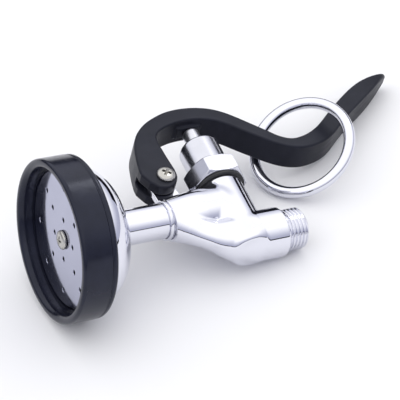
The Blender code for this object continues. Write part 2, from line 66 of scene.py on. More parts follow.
# body
BOSS_R, BOSS_FLARE, FLARE_L = 8.9, 2.2, 19.0
INLET_Z, INLET_R, INLET_END_X = -19.2, 11.4, 105.0
THREAD_R, THREAD_PITCH, THREAD_L = 9.525, 1.814, 10.8
INLET_BORE_R = 6.2
INLET_START_X, INLET_BORE_X = 92.0, 91.0   # where the inlet barrel and its bore begin
BONNET_X, BONNET_LEAN = 89.0, 0.065
BONNET_BOSS_R, BONNET_BOSS_TOP = 10.6, 11.0
CHAMBER_R, CHAMBER_FLOOR, BARREL_FLOOR = 8.2, -25.0, -28.0
LEG = ((57.4, -0.8, 8.9), (61.0, -2.4, 8.9), (65.4, -6.4, 7.9), (70.1, -11.0, 6.9), (75.5, -15.0, 7.3),
       (82.0, -18.1, 9.7), (90.0, INLET_Z, INLET_R - 0.05))   # x, z and radius along the leg
SOCKET_L, PASSAGE_R = 10.4, 5.0
FIT = 0.12   # gap where one part is pushed into another
# bonnet, heights along its own axis
SEAT_BOTTOM, WASHER_T, POCKET_FLOOR = -9.0, 1.4, 12.8
NUT_BOTTOM, NUT_TOP, NUT_AF = 12.5, 22.5, 25.0
NUT_CHAMFER = (0.56, 0.83)   # outward and along the axis, the way the nut's turned-off corners face
SIN_60 = 0.8660254
NECK_R, NECK_TOP = 9.7, 39.0
SPRING_HIGH = 27.6
STEM_R, STEM_TIP, ROD_R = 4.0, 49.8, 2.4
# lever
LEVER_W, LEVER_EDGE = 14.0, 0.9
PIVOT_X, PIVOT_Z, PIVOT_R = 64.5, 20.0, 2.1
FIN_T, GAP = 3.2, 0.3
LEVER_TOP = ((53.8, 26.1), (55.8, 34.1), (58.9, 42.7), (64.2, 50.0), (72.3, 55.7), (84.4, 59.6),
             (98.2, 58.9), (109.9, 53.5), (123.5, 39.5), (130.9, 31.7), (138.4, 29.4), (150.6, 33.6),
             (168.1, 46.3), (186.5, 57.6), (207.5, 64.8))
LEVER_UNDER = ((208.2, 63.2), (192.5, 51.5), (171.4, 37.8), (156.5, 26.9), (146.2, 22.9), (136.8, 22.6),
               (127.6, 26.7), (116.3, 36.9), (105.6, 47.2), (96.4, 51.1), (86.1, 51.5), (76.9, 49.2),
               (71.7, 45.4), (70.4, 40.0))
EAR_FOOT = ((70.6, 23.0), (69.9, 18.6), (67.6, 15.0), (64.6, 13.2), (61.4, 12.9), (58.4, 14.0))
EAR_BACK = ((55.7, 17.6), (53.6, 23.0))
# hold-down ring
RING_R, RING_WIRE_R = 23.7, 2.75
RING_CENTRE = Vector((140.7, -2.0, 26.8))
RING_NORMAL = Vector((-0.623, -0.782, -0.021))

X_DIR, Y_DIR, Z_DIR = Vector((1, 0, 0)), Vector((0, 1, 0)), Vector((0, 0, 1))
BONNET_DIR = Vector((math.sin(BONNET_LEAN), 0.0, math.cos(BONNET_LEAN)))
BONNET_FOOT = Vector((BONNET_X, 0.0, 0.0))
PIVOT = Vector((PIVOT_X, 0.0, PIVOT_Z))


def valve_frame():
    """Matrix from the valve's own frame to the row frame, from the record's mount and pivot joint."""
    pivot = JOINTS["lever_squeeze"]
    x_axis = Vector(MOUNTS["inlet_face"]["axis"]).normalized()
    z_axis = x_axis.cross(Vector(pivot["axis"])).normalized()
    turn = Matrix((x_axis, z_axis.cross(x_axis), z_axis)).transposed()
    origin = Vector(pivot["pos_m"]) - turn @ (PIVOT * MM)
    return Matrix.Translation(origin) @ turn.to_4x4()


VALVE = valve_frame()


# ---------------------------------------------------------------- materials
class Nodes:
    """Short-hand for building one material's node tree."""

    def __init__(self, name):
        self.material = bpy.data.materials.new(name)
        self.material.use_nodes = True
        self.tree = self.material.node_tree
        self.shader = self.tree.nodes["Principled BSDF"]
        self.place = self.tree.nodes.new("ShaderNodeTexCoord").outputs["Object"]

    def add(self, kind, **settings):
        node = self.tree.nodes.new(kind)
        for key, value in settings.items():
            if hasattr(node, key):
                setattr(node, key, value)
            else:
                node.inputs[key.replace("_", " ").title()].default_value = value
        return node

    def link(self, out, into):
        self.tree.links.new(out, into)

    def noise(self, size_mm, detail=2.0, roughness=0.5, stretch=None):
        """Noise whose features are about size_mm across, stretched along the valve's axes if asked."""
        node = self.add("ShaderNodeTexNoise", scale=1.0 / (size_mm * MM), detail=detail,
                        roughness=roughness)
        source = self.place
        if stretch:
            mapping = self.add("ShaderNodeMapping")
            mapping.inputs["Scale"].default_value = stretch
            self.link(source, mapping.inputs["Vector"])
            source = mapping.outputs["Vector"]
        self.link(source, node.inputs["Vector"])
        return node.outputs["Fac"]

    def ramp(self, source, low, high, start=0.35, end=0.65):
        """Maps a noise value to a number or a colour between low and high."""
        if isinstance(low, tuple):
            node = self.add("ShaderNodeValToRGB")
            for element, position, colour in zip(node.color_ramp.elements, (start, end), (low, high)):
                element.position, element.color = position, (*colour, 1.0)
            self.link(source, node.inputs["Fac"])
            return node.outputs["Color"]
        node = self.add("ShaderNodeMapRange")
        for key, value in zip(("From Min", "From Max", "To Min", "To Max"), (start, end, low, high)):
            node.inputs[key].default_value = value
        self.link(source, node.inputs["Value"])
        return node.outputs["Result"]

    def bump(self, source, depth_mm, below=None):
        node = self.add("ShaderNodeBump", strength=1.0, distance=depth_mm * MM)
        self.link(source, node.inputs["Height"])
        if below is not None:
            self.link(below, node.inputs["Normal"])
        return node.outputs["Normal"]


def shift(colour, factor):
    return tuple(channel * factor for channel in colour)


def metal_finish(name, colour, rough, smudge, wave_mm=9.0, wave_depth=0.0, grain=None):
    """Metal with slow tone changes, wipe marks in its gloss and, if asked, fine grain."""
    nodes = Nodes(name)
    nodes.shader.inputs["Metallic"].default_value = 1.0
    tone = nodes.noise(wave_mm, detail=3.0)
    nodes.link(nodes.ramp(tone, shift(colour, 0.965), colour), nodes.shader.inputs["Base Color"])
    wipe = nodes.noise(5.0, detail=6.0, roughness=0.65, stretch=(0.35, 1.0, 1.0))
    nodes.link(nodes.ramp(wipe, rough, rough + smudge, 0.42, 0.72), nodes.shader.inputs["Roughness"])
    normal = None
    if wave_depth:
        normal = nodes.bump(nodes.noise(wave_mm, detail=1.0), wave_depth)
    if grain:
        size, depth = grain
        normal = nodes.bump(nodes.noise(size, detail=3.0), depth, normal)
    if normal is not None:
        nodes.link(normal, nodes.shader.inputs["Normal"])
    return nodes.material


def moulded_finish(name, colour, rough, grain_mm, grain_depth, specular=0.5, bloom=1.25, flow=None,
                   sheen=(1.0, 1.0, 1.0)):
    """Rubber or plastic: fine moulded grain, cloudy tone, patches of polish and faint flow marks."""
    nodes = Nodes(name)
    nodes.shader.inputs["Specular IOR Level"].default_value = specular
    nodes.shader.inputs["Specular Tint"].default_value = (*sheen, 1.0)
    cloud = nodes.noise(11.0, detail=5.0, roughness=0.6)
    tone = nodes.ramp(cloud, shift(colour, 0.88), shift(colour, bloom))
    nodes.link(tone, nodes.shader.inputs["Base Color"])
    polish = nodes.noise(3.2, detail=6.0, roughness=0.7, stretch=flow)
    nodes.link(nodes.ramp(polish, rough - 0.05, rough + 0.07, 0.35, 0.7), nodes.shader.inputs["Roughness"])
    swell = nodes.bump(nodes.noise(14.0, detail=1.0, stretch=flow), 0.05)
    nodes.link(nodes.bump(nodes.noise(grain_mm, detail=2.0), grain_depth, swell),
               nodes.shader.inputs["Normal"])
    return nodes.material


COOL = (0.78, 0.82, 1.0)   # bluish sheen of the black pieces
FINISHES = {
    "chrome": metal_finish("chrome_plate", (0.76, 0.765, 0.83), 0.03, 0.04, wave_mm=16.0,
                           wave_depth=0.004),
    "polished_steel": metal_finish("polished_sheet", (0.42, 0.43, 0.54), 0.08, 0.05, grain=(0.5, 0.0008)),
    "zinc_steel": metal_finish("zinc_plate", (0.50, 0.49, 0.465), 0.26, 0.14, wave_mm=2.0,
                               grain=(0.35, 0.006)),
    "spring_steel": metal_finish("spring_wire", (0.52, 0.52, 0.54), 0.27, 0.10, wave_mm=3.0,
                                 grain=(0.3, 0.004)),
    "brass": metal_finish("turned_brass", (0.76, 0.58, 0.27), 0.25, 0.12, wave_mm=4.0, grain=(0.4, 0.005)),
    "black_rubber": moulded_finish("bumper_rubber", (0.009, 0.010, 0.019), 0.20, 0.45, 0.004,
                                   specular=0.34, sheen=COOL),
    "black_plastic": moulded_finish("lever_plastic", (0.009, 0.0095, 0.0150), 0.40, 0.32, 0.018,
                                    specular=0.24, flow=(0.25, 1.0, 0.6), sheen=COOL),
    "seal_rubber": moulded_finish("seal_rubber_fine", (0.013, 0.013, 0.016), 0.46, 0.3, 0.01),
    "white_plastic": moulded_finish("packing_plastic", (0.78, 0.78, 0.75), 0.42, 0.5, 0.01, bloom=1.05),
}
TURNED_CHROME = metal_finish("turned_chrome", (0.63, 0.635, 0.70), 0.21, 0.06, grain=(0.4, 0.0012))
GROUND_STEEL = metal_finish("ground_steel", (0.68, 0.685, 0.75), 0.33, 0.08, grain=(0.4, 0.002))


# ---------------------------------------------------------------- mesh helpers
def place(point, axis):
    """Matrix (mm) whose Z runs along axis and whose origin is point."""
    turn = Z_DIR.rotation_difference(Vector(axis).normalized())
    return Matrix.Translation(Vector(point)) @ turn.to_matrix().to_4x4()


def piece(name, verts, faces, slot, body, replaces=(), matrix=None, normals=None, sharp=38.0, finish=None):
    """Mesh object from points in mm in the valve frame, finished, and riding on a CAD body."""
    points = np.asarray(verts, float)
    if matrix is not None:
        turn = np.array(matrix.to_3x3())
        points = points @ turn.T + np.array(matrix.translation)
    mesh = bpy.data.meshes.new(name)
    mesh.from_pydata((points * MM).tolist(), [], [tuple(face) for face in faces])
    mesh.update()
    obj = bpy.data.objects.new(name, mesh)
    bpy.context.collection.objects.link(obj)
    mesh.materials.append(finish or FINISHES[slot])
    mesh.shade_smooth()
    if normals is None:
        mesh.set_sharp_from_angle(angle=math.radians(sharp))
    else:
        mesh.normals_split_custom_set_from_vertices(normals.tolist())
    obj.matrix_world = VALVE
    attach(obj, body)
    if replaces:
        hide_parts(*replaces)
    return obj


def lathe(profile, segments=128):
    """Points and faces of a solid turned about Z from (radius, height) points, closed or as a ring."""
    verts, faces, rings = [], [], []
    for radius, height in profile:
        count = 1 if radius < 1e-6 else segments
        rings.append(range(len(verts), len(verts) + count))
        verts += [(radius * math.cos(a), radius * math.sin(a), height)
                  for a in (2 * math.pi * k / segments for k in range(count))]
    pairs = list(zip(rings, rings[1:]))
    if len(rings[0]) > 1:
        pairs.append((rings[-1], rings[0]))
    for low, high in pairs:
        for k in range(segments):
            n = (k + 1) % segments
            corners = (low[k % len(low)], low[n % len(low)], high[n % len(high)], high[k % len(high)])
            faces.append(tuple(dict.fromkeys(corners)))
    return verts, faces


def arc(centre, radius, start, end, steps):
    return [(centre[0] + radius * math.cos(math.radians(start + (end - start) * k / steps)),
             centre[1] + radius * math.sin(math.radians(start + (end - start) * k / steps)))
            for k in range(steps + 1)]


def spline(points, steps):
    """Catmull-Rom curve through points of two or more numbers each."""
    pts = [np.array(p, float) for p in points]
    pts = [2 * pts[0] - pts[1]] + pts + [2 * pts[-1] - pts[-2]]
    out = []
    for p0, p1, p2, p3 in zip(pts, pts[1:], pts[2:], pts[3:]):
        for k in range(steps):
            t = k / steps
            out.append(0.5 * (2 * p1 + (p2 - p0) * t + (2 * p0 - 5 * p1 + 4 * p2 - p3) * t * t
                              + (3 * p1 - p0 - 3 * p2 + p3) * t ** 3))
    return out + [pts[-2]]


def rounded(points, radius, steps=5):
    """A lathe profile with every corner between its two ends rounded to about radius."""
    out = [points[0]]
    for before, corner, after in zip(points, points[1:], points[2:]):
        corner = np.array(corner, float)
        legs = [np.array(p, float) - corner for p in (before, after)]
        reach = min([radius] + [0.45 * np.linalg.norm(leg) for leg in legs])
        start, end = (corner + leg / np.linalg.norm(leg) * reach for leg in legs)
        for k in range(steps + 1):
            t = k / steps
            out.append(tuple((1 - t) ** 2 * start + 2 * t * (1 - t) * corner + t * t * end))
    return out + [points[-1]]


# ---------------------------------------------------------------- smooth solids from distance fields
def smooth_union(a, b, reach):
    mix = np.clip(0.5 + 0.5 * (b - a) / reach, 0, 1)
    return b + (a - b) * mix - reach * mix * (1 - mix)


def rounded_both(a, b, radius):
    """Solid where a and b are both negative, its outer edge rounded to radius."""
    a, b = a + radius, b + radius
    return np.minimum(np.maximum(a, b), 0) + np.hypot(np.maximum(a, 0), np.maximum(b, 0)) - radius


def cut(solid, hole, radius):
    return rounded_both(solid, -hole, radius)


def outline_field(outline, x, z):
    """Signed distance in the XZ plane to a closed outline, negative inside."""
    nearest = np.full(np.broadcast(x, z).shape, np.inf)
    inside = np.zeros(nearest.shape, bool)
    for (ax, az), (bx, bz) in zip(outline, np.roll(outline, -1, 0)):
        ex, ez = bx - ax, bz - az
        t = np.clip(((x - ax) * ex + (z - az) * ez) / (ex * ex + ez * ez), 0, 1)
        nearest = np.minimum(nearest, (x - ax - t * ex) ** 2 + (z - az - t * ez) ** 2)
        if az != bz:
            inside ^= ((az > z) != (bz > z)) & (x < ax + (z - az) * ex / ez)
    return np.where(inside, -1, 1) * np.sqrt(nearest)


def path_field(path, radii, x, y, z):
    """Distance to a round bar along a path in the XZ plane."""
    nearest = np.full(np.broadcast(x, y, z).shape, np.inf)
    for (ax, az), (bx, bz), ra, rb in zip(path, path[1:], radii, radii[1:]):
        ex, ez = bx - ax, bz - az
        t = np.clip(((x - ax) * ex + (z - az) * ez) / (ex * ex + ez * ez), 0, 1)
        far = np.sqrt((x - ax - t * ex) ** 2 + y * y + (z - az - t * ez) ** 2)
        nearest = np.minimum(nearest, far - ra - t * (rb - ra))
    return nearest


def field_surface(field, low, high, cell):
    """Closed quad mesh of field = 0: surface nets on a lattice, then each point drawn onto the surface."""
    axes = [np.arange(a, b + cell, cell) for a, b in zip(low, high)]
    value = field(axes[0][:, None, None], axes[1][None, :, None], axes[2][None, None, :])
    cells = np.array(value.shape) - 1
    edges = []
    for axis in range(3):
        others = [k for k in range(3) if k != axis]
        turned = np.moveaxis(value, axis, 0)
        start, end = turned[:-1], turned[1:]
        where = np.argwhere((start < 0) != (end < 0))
        a, b = start[tuple(where.T)], end[tuple(where.T)]
        at = np.empty((len(where), 3))
        at[:, axis] = where[:, 0] + a / (a - b)
        at[:, others[0]], at[:, others[1]] = where[:, 1], where[:, 2]
        corners = []
        for down0, down1 in ((1, 1), (0, 1), (0, 0), (1, 0)):
            cell_at = np.empty((len(where), 3), int)
            cell_at[:, axis] = where[:, 0]
            cell_at[:, others[0]], cell_at[:, others[1]] = where[:, 1] - down0, where[:, 2] - down1
            corners.append(np.ravel_multi_index(tuple(cell_at.T), cells))
        corners = np.stack(corners, 1)
        flip = (a >= 0) != (axis == 1)
        corners[flip] = corners[flip][:, ::-1]
        edges.append((corners, at))
    corners = np.concatenate([c for c, _ in edges])
    at = np.repeat(np.concatenate([p for _, p in edges]), 4, axis=0)
    index = np.unique(corners.ravel(), return_inverse=True)[1].ravel()
    count = np.bincount(index)
    points = np.stack([np.bincount(index, at[:, k]) / count for k in range(3)], 1)
    points = np.array([a[0] for a in axes]) + points * cell
    for _ in range(3):
        slope = gradient(field, points)
        step = field(*points.T)[:, None] * slope / np.maximum((slope ** 2).sum(1), 0.04)[:, None]
        points -= np.clip(step, -0.5 * cell, 0.5 * cell)
    normals = gradient(field, points)
    normals /= np.linalg.norm(normals, axis=1)[:, None]
    return points, index.reshape(-1, 4), normals


def gradient(field, points, step=0.06):
    out = np.empty_like(points)
    for k in range(3):
        ahead, behind = points.copy(), points.copy()
        ahead[:, k] += step
        behind[:, k] -= step
        out[:, k] = (field(*ahead.T) - field(*behind.T)) / (2 * step)
    return out


# ---------------------------------------------------------------- small hardware
def cross_cutter(name, top, depth, reach, width, spin):
    """Tapered cross-recess cutter on Z, from height top downwards, turned by spin."""
    bm = bmesh.new()
    for turn in (spin, spin + math.pi / 2):
        aim = Matrix.Rotation(turn, 3, "Z")
        rings = []
        for height, scale in ((top + 0.6, 1.12), (top - depth, 0.42)):
            half_x, half_y = reach * scale, width * (0.4 + 0.6 * scale)
            rings.append([bm.verts.new(aim @ Vector((sx * half_x, sy * half_y, height)) * MM)
                          for sx, sy in ((-1, -1), (1, -1), (1, 1), (-1, 1))])
        bm.faces.new(rings[0])
        bm.faces.new(rings[1][::-1])
        for k in range(4):
            n = (k + 1) % 4
            bm.faces.new((rings[0][k], rings[1][k], rings[1][n], rings[0][n]))
    bmesh.ops.recalc_face_normals(bm, faces=bm.faces)
    return cutter(name, bm)


def cutter(name, bm):
    mesh = bpy.data.meshes.new(name)
    bm.to_mesh(mesh)
    bm.free()
    obj = bpy.data.objects.new(name, mesh)
    bpy.context.collection.objects.link(obj)
    return obj


def carve(obj, tools, sharp=38.0):
    """Apply exact boolean cuts of the tool objects to obj, then delete the tools."""
    for item in tools:
        mod = obj.modifiers.new(item.name, "BOOLEAN")
        mod.object, mod.operation, mod.solver, mod.use_self = item, "DIFFERENCE", "EXACT", True
    mesh = bpy.data.meshes.new_from_object(obj.evaluated_get(bpy.context.evaluated_depsgraph_get()))
    obj.modifiers.clear()
    old, obj.data = obj.data, mesh
    mesh.name = obj.name
    bpy.data.meshes.remove(old)
    for item in tools:
        bpy.data.objects.remove(item)
    mesh.shade_smooth()
    mesh.set_sharp_from_angle(angle=math.radians(sharp))


def pan_screw(name, matrix, head_r, head_h, shank_r, shank_l, recess, body, replaces):
    """Pan-head cross-recess screw: head from height 0 up, shank down."""
    dome = [(head_r * math.cos(t) ** 0.62, head_h * (0.22 + 0.78 * math.sin(t)))
            for t in (math.pi / 2 * k / 14 for k in range(14))]
    profile = [(0, -shank_l), (shank_r - 0.3, -shank_l), (shank_r, 0.4 - shank_l), (shank_r, 0),
               (head_r - 0.15, 0), (head_r, 0.12)] + dome + [(0, head_h)]
    verts, faces = lathe(profile, 64)
    screw = piece(name, verts, faces, "zinc_steel", body, replaces, matrix)
    tool = cross_cutter(name + "_recess", head_h, **recess)
    tool.matrix_world = VALVE @ Matrix.Translation(matrix.translation * MM) @ matrix.to_3x3().to_4x4()
    bpy.context.view_layer.update()
    carve(screw, [tool])


# ---------------------------------------------------------------- spray head
ALONG_X = place((0, 0, 0), X_DIR)


def rubber_bumper():
    inner = BUMPER_R - BUMPER_WALL
    profile = [(inner, PLATE_X - GAP), (inner, 2.6), (inner + 0.5, 1.0), (inner + 1.5, 0.15),
               (inner + 2.1, 0.0)]
    profile += arc((BUMPER_R - 1.5, 1.5), 1.5, -90, 0, 10)
    profile += [(BUMPER_R, 1.9), (BUMPER_R, BUMPER_L - 3.3)]
    profile += rounded([(BUMPER_R, BUMPER_L - 3.2), (BUMPER_R - 0.42, BUMPER_L - 2.75),
                        (BUMPER_R - 0.42, BUMPER_L - 2.45), (BUMPER_R - 0.1, BUMPER_L - 2.1),
                        (BUMPER_R - 0.1, BUMPER_L - 0.9), (BUMPER_R - 1.1, BUMPER_L),
                        (BELL_R + 0.6, BUMPER_L)], 0.5)
    profile += [(BELL_R + 0.6, PLATE_X - GAP)]
    verts, faces = lathe(profile, 192)
    piece("bumper_moulding", verts, faces, "black_rubber", "valve", ["rubber_bumper"], ALONG_X, sharp=42.0)


def face_plate():
    back = PLATE_X + PLATE_T
    rim = rounded([(0, PLATE_X), (PLATE_R, PLATE_X), (PLATE_R, back), (0, back)], 0.3, 3)
    verts, faces = lathe(rim, 128)
    plate = piece("perforated_plate", verts, faces, "polished_steel", "valve", ["spray_face_plate"],
                  ALONG_X)
    around = 24
    spots = [(0.0, 0.0, SCREW_HOLE_R)]
    for radius, count, first in PLATE_HOLES:
        angles = [math.radians(first + 360.0 * k / count) for k in range(count)]
        spots += [(radius * math.cos(a), radius * math.sin(a), PLATE_HOLE_R) for a in angles]
    tools = []
    for y, z, hole_r in spots:
        bm = bmesh.new()
        rings = []
        for x, r in ((PLATE_X - 0.5, hole_r + 0.75), (PLATE_X + 0.22, hole_r), (back + 0.5, hole_r)):
            circle = [Vector((x, y + r * math.cos(a), z + r * math.sin(a)))
                      for a in (2 * math.pi * k / around for k in range(around))]
            rings.append([bm.verts.new(VALVE @ (point * MM)) for point in circle])
        bm.faces.new(rings[0])
        bm.faces.new(rings[-1][::-1])
        for low, high in zip(rings, rings[1:]):
            for k in range(around):
                n = (k + 1) % around
                bm.faces.new((low[k], high[k], high[n], low[n]))
        bmesh.ops.recalc_face_normals(bm, faces=bm.faces)
        tools.append(cutter("plate_hole", bm))
    carve(plate, tools, sharp=8.0)
    pan_screw("face_screw_fine", place((PLATE_X - GAP, 0, 0), -X_DIR), head_r=4.3, head_h=1.7,
              shank_r=2.1, shank_l=9.3, recess={"depth": 1.4, "reach": 2.3, "width": 0.5, "spin": 0.35},
              body="valve", replaces=["face_screw"])


def spray_bell():
    front = PLATE_X + PLATE_T + 2 * GAP + 1.2
    dome = [(BELL_R * (1 - t ** BELL_POWER) ** (1 / BELL_POWER), BELL_RIM_X + BELL_DEPTH * t)
            for t in (math.sin(math.pi / 2 * k / 40) for k in range(38))]
    dome = [p for p in dome if p[0] > TUBE_R + 3.2]
    top, foot = BELL_RIM_X + BELL_DEPTH, BELL_RIM_X + 9.0
    hub = rounded([dome[-1], (TUBE_R + 1.5, top + 0.2), (TUBE_R + GAP, top + 1.4), (TUBE_R + GAP, foot),
                   (TUBE_R + 2.4, foot)], 0.9)
    inside = [(r - BELL_T, x - BELL_T * 0.9) for r, x in reversed(dome) if r > HUB_R]
    verts, faces = lathe([(BELL_R, front)] + dome + hub[1:] + inside + [(BELL_MOUTH_R, front)], 192)
    piece("bell_dome", verts, faces, "chrome", "valve", ["spray_bell"], ALONG_X)


def outlet_tube():
    start, end = BELL_RIM_X + 9.6, SEAM_X + 8.0
    verts, faces = lathe([(TUBE_BORE_R, start), (TUBE_R, start), (TUBE_R, end), (TUBE_BORE_R, end)], 128)
    piece("outlet_pipe", verts, faces, "chrome", "valve", ["outlet_tube"], ALONG_X)


# ---------------------------------------------------------------- valve body
LEG_BAR = np.array(spline(LEG + ((INLET_START_X + 0.5, INLET_Z, INLET_R - 0.05),), 10))
FIN = np.array([(54.6, 3.0), (54.6, 20.6), (55.6, 23.6)]
               + arc((PIVOT_X - 1.0, PIVOT_Z), 5.8, 125, -20, 16) + [(70.0, 3.0)])


def body_field(x, y, z):
    """The casting: outlet barrel, bonnet barrel, curved leg, inlet barrel and pivot fin, run together."""
    flare = np.clip((x - SEAM_X) / FLARE_L, 0, 1)
    outlet_r = BOSS_R + BOSS_FLARE * flare * (1.25 - 0.25 * flare ** 4)
    outlet = rounded_both(np.hypot(y, z) - outlet_r, x - BONNET_X, 6.0)
    along = (x - BONNET_X) * BONNET_DIR.x + z * BONNET_DIR.z
    out = np.hypot((x - BONNET_X) * BONNET_DIR.z - z * BONNET_DIR.x, y)
    barrel = rounded_both(out - BONNET_BOSS_R, along - BONNET_BOSS_TOP, 0.6)
    barrel = rounded_both(barrel, BARREL_FLOOR - along, 3.5)
    inlet_r = np.hypot(y, z - INLET_Z)
    inlet = np.maximum(rounded_both(inlet_r - INLET_R, x - INLET_END_X, 0.8), INLET_START_X - x)
    lower = np.minimum(path_field(LEG_BAR[:, :2], LEG_BAR[:, 2], x, y, z), inlet)
    body = smooth_union(smooth_union(outlet, barrel, 2.5), lower, 0.9)
    fin = rounded_both(outline_field(FIN, x, z), np.abs(y) - FIN_T / 2, 0.5)
    body = smooth_union(body, fin, 1.6)
    body = rounded_both(body, SEAM_X + COLLAR_L - x, 0.5)
    chamber = rounded_both(out - CHAMBER_R, CHAMBER_FLOOR - along, 1.0)
    body = cut(body, chamber, 0.5)
    body = cut(body, np.maximum(inlet_r - INLET_BORE_R, INLET_BORE_X - x), 0.5)
    socket = np.maximum(np.hypot(y, z) - TUBE_R - FIT, x - SEAM_X - SOCKET_L)
    passage = np.maximum(np.hypot(y, z) - PASSAGE_R, x - BONNET_X + 4.0)
    body = cut(body, np.minimum(socket, passage), 0.3)
    pivot_bore = np.hypot(x - PIVOT_X, z - PIVOT_Z) - PIVOT_R - GAP
    return cut(body, pivot_bore, 0.3)


def valve_body():
    points, quads, normals = field_surface(body_field, (53.0, -13.2, -33.0), (107.0, 13.2, 28.0), 0.5)
    piece("body_casting", points, quads, "chrome", "valve", ["valve_body"], normals=normals)

    bore, lip = TUBE_R + FIT, BOSS_R + 0.3
    end, neck = SEAM_X + COLLAR_L, BOSS_R - 0.5
    band = rounded([(bore, end + 1.0), (bore, SEAM_X), (lip, SEAM_X), (lip, end - 0.5), (neck, end - 0.5),
                    (neck, end + 1.0)], 0.4)
    verts, faces = lathe(band, 128)
    piece("body_collar", verts, faces, "chrome", "valve", (), ALONG_X)

    start, end = INLET_END_X - BONNET_X - 0.6, INLET_END_X - BONNET_X + THREAD_L
    core, around, per_pitch = THREAD_R - 1.05, 96, 12
    outer_steps = int((end - start) / THREAD_PITCH * per_pitch)
    verts = []
    for k in range(outer_steps + 1):
        s = start + (end - start) * k / outer_steps
        fade = min(1.0, max(0.0, (s - start - 1.0) / 1.0), max(0.0, (end - s) / 1.1))
        for j in range(around):
            phase = (s / THREAD_PITCH - j / around) % 1.0
            tooth = min(1.0, max(0.0, 1.35 - 3.1 * abs(phase - 0.5)))
            verts.append((core + (THREAD_R - core) * tooth * fade, 2 * math.pi * j / around, s))
    for s in (end, start):
        verts += [(INLET_BORE_R, 2 * math.pi * j / around, s) for j in range(around)]
    rings = len(verts) // around
    verts = [(r * math.cos(a), r * math.sin(a), s) for r, a, s in verts]
    faces = [(low + j, low + (j + 1) % around, high + (j + 1) % around, high + j)
             for low, high in [(k * around, (k + 1) % rings * around) for k in range(rings)]
             for j in range(around)]
    inlet_axis = place((BONNET_X, 0, INLET_Z), X_DIR)
    piece("inlet_thread", verts, faces, "chrome", "valve", (), inlet_axis, sharp=60.0)


# ---------------------------------------------------------------- bonnet
def nut_field(x, y, z):
    """Hexagon nut about Z with rounded-off corners, two flats facing across Y, bored for the neck."""
    slanted = np.maximum(np.abs(0.5 * y + SIN_60 * x), np.abs(0.5 * y - SIN_60 * x))
    sides = np.maximum(np.abs(y), slanted) - NUT_AF / 2
    radius = np.hypot(x, y)
    middle, half = (NUT_BOTTOM + NUT_TOP) / 2, (NUT_TOP - NUT_BOTTOM) / 2
    out, along = NUT_CHAMFER
    turned = out * (radius - NUT_AF / 2 - 0.1) + along * (np.abs(z - middle) - half)
    nut = rounded_both(rounded_both(sides, np.abs(z - middle) - half, 0.35), turned, 0.3)
    return cut(nut, radius - NECK_R - FIT, 0.3)


def bonnet():
    axis = place(BONNET_FOOT, BONNET_DIR)
    skirt_r = CHAMBER_R - GAP
    outside = [(skirt_r, 1.6), (skirt_r, NUT_TOP - 8.0), (NECK_R, NUT_TOP - 6.0), (NECK_R, NECK_TOP - 2.0)]
    outside += arc((NECK_R - 1.9, NECK_TOP - 1.9), 1.9, 4, 90, 12)
    mouth = rounded([outside[-1], (STEM_R + 0.16, NECK_TOP), (STEM_R + 0.16, NECK_TOP - 2.6)], 0.35, 4)
    inside = [(STEM_R + 2.4, NECK_TOP - 2.6), (STEM_R + 2.4, POCKET_FLOOR), (STEM_R + 1.0, POCKET_FLOOR),
              (STEM_R + 1.0, 1.6)]
    verts, faces = lathe(outside + mouth[1:] + inside, 128)
    piece("bonnet_neck", verts, faces, "chrome", "valve", ["bonnet"], axis, finish=TURNED_CHROME)

    reach = NUT_AF / 2 * 1.19
    low, high = (-reach, -reach, NUT_BOTTOM - 1.0), (reach, reach, NUT_TOP + 1.0)
    points, quads, normals = field_surface(nut_field, low, high, 0.4)
    turn = np.array(axis.to_3x3())
    piece("bonnet_hexagon", points, quads, "chrome", "valve", ["bonnet_nut"], axis,
          normals=normals @ turn.T, finish=TURNED_CHROME)

    # black band filling the gap between the bonnet boss and the underside of the nut
    radius = NUT_AF / 2 - 0.4
    band = rounded([(CHAMBER_R + GAP, BONNET_BOSS_TOP + 0.1), (radius, BONNET_BOSS_TOP + 0.1),
                    (radius, NUT_BOTTOM - 0.05), (CHAMBER_R + GAP, NUT_BOTTOM - 0.05)], 0.4)
    verts, faces = lathe(band, 128)
    piece("bonnet_black_band", verts, faces, "seal_rubber", "valve", ["bonnet_gasket"], axis)

    disc_top = SEAT_BOTTOM - GAP - WASHER_T
    collar = SPRING_HIGH + GAP
    stem = [(0, disc_top - 4.0), (1.5, disc_top - 4.0), (1.5, disc_top), (ROD_R, disc_top), (ROD_R, collar),
            (STEM_R, collar), (STEM_R, STEM_TIP - 1.7)]
    stem += arc((STEM_R - 1.5, STEM_TIP - 1.7), 1.5, 8, 78, 8) + [(1.6, STEM_TIP - 0.05), (0, STEM_TIP)]
    verts, faces = lathe(stem, 96)
    piece("plunger_rod", verts, faces, "chrome", "stem", ["plunger"], axis, finish=GROUND_STEEL)


# ---------------------------------------------------------------- lever
LEVER_OUTLINE = np.array(spline(LEVER_TOP, 8) + spline(LEVER_UNDER, 8) + [(70.4, 30.0)]
                         + spline(EAR_FOOT, 6) + list(EAR_BACK))
SLOT = np.array([(48, 8), (48, 26.6)]
                + arc((PIVOT_X - 1.0, PIVOT_Z), 7.6, 118, 0, 16) + [(74, 18), (74, 8)])
PAD = np.array([(84.0, 53.0), (85.5, 50.1), (97.6, 50.1), (98.6, 52.5)])
TAIL_START, TAIL_TIP = 184.0, 209.5


